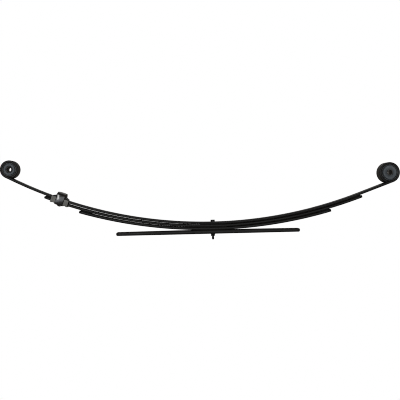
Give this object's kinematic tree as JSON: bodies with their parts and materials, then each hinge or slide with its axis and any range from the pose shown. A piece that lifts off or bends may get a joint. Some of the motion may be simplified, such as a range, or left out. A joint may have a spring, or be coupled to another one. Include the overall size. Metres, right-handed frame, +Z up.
{
  "type": "leaf spring",
  "caption": "Semi-elliptic leaf spring with wrapped eyes, graduated helper leaves, a straight overload leaf, a clip and bushed ends.",
  "frame": {"origin": "centre-bolt axis at the underside of the overload leaf, where the axle pad bears", "axes": "+X along the spring to the front (larger) eye, +Y across the width parallel to the eye bolts, +Z up through the centre bolt"},
  "size_m": [1.3666, 0.074, 0.2873],
  "materials": {
    "leaf_paint": "satin black paint over rolled spring steel",
    "clip_paint": "gloss black dip paint",
    "bolt_steel": "black oxide",
    "bush_steel": "phosphated, dull",
    "bush_rubber": "moulded, slightly bloomed",
    "pad_plastic": "moulded",
    "pad_rubber": "moulded black rubber, slightly dusty",
    "liner_plastic": "moulded, translucent grey"
  },
  "bodies": {
    "leaf_pack": {"main_leaf": "leaf_paint", "second_leaf": "leaf_paint", "third_leaf": "leaf_paint", "overload_leaf": "leaf_paint", "center_bolt": "bolt_steel", "center_nut": "bolt_steel", "upper_center_spacer": "leaf_paint", "lower_center_spacer": "leaf_paint"},
    "rear_arm": {"rear_bush_can": "bush_steel", "rear_bush_rubber": "bush_rubber", "clip_strap": "clip_paint", "clip_rivet": "clip_paint", "clip_liner": "liner_plastic", "clip_top_pad": "pad_rubber", "rear_second_tip_pad": "pad_plastic", "rear_third_tip_pad": "pad_plastic"},
    "front_arm": {"front_bush_can": "bush_steel", "front_bush_rubber": "bush_rubber", "front_second_tip_pad": "pad_plastic", "front_third_tip_pad": "pad_plastic"},
    "rear_sleeve": {"rear_bush_sleeve": "bolt_steel"},
    "front_sleeve": {"front_bush_sleeve": "bush_steel"}
  },
  "joints": [
    {"name": "rear_flex", "type": "hinge", "parent": "leaf_pack", "child": "rear_arm", "pos_m": [-0.272, 0, 0.05118], "axis": [0, -1, 0], "range_deg": [-3, 17], "stiffness_Nm_per_rad": 2170, "deforming": ["main_leaf", "second_leaf", "third_leaf"]},
    {"name": "front_flex", "type": "hinge", "parent": "leaf_pack", "child": "front_arm", "pos_m": [0.237, 0, 0.0452], "axis": [0, 1, 0], "range_deg": [-3, 15], "stiffness_Nm_per_rad": 2500, "deforming": ["main_leaf", "second_leaf", "third_leaf"]},
    {"name": "rear_sleeve_turn", "type": "hinge", "parent": "rear_arm", "child": "rear_sleeve", "pos_m": [-0.69, 0, 0.23531], "axis": [0, 1, 0], "range_deg": [-25, 25], "stiffness_Nm_per_rad": 57},
    {"name": "front_sleeve_turn", "type": "hinge", "parent": "front_arm", "child": "front_sleeve", "pos_m": [0.61, 0, 0.19577], "axis": [0, 1, 0], "range_deg": [-25, 25], "stiffness_Nm_per_rad": 57}
  ]
}
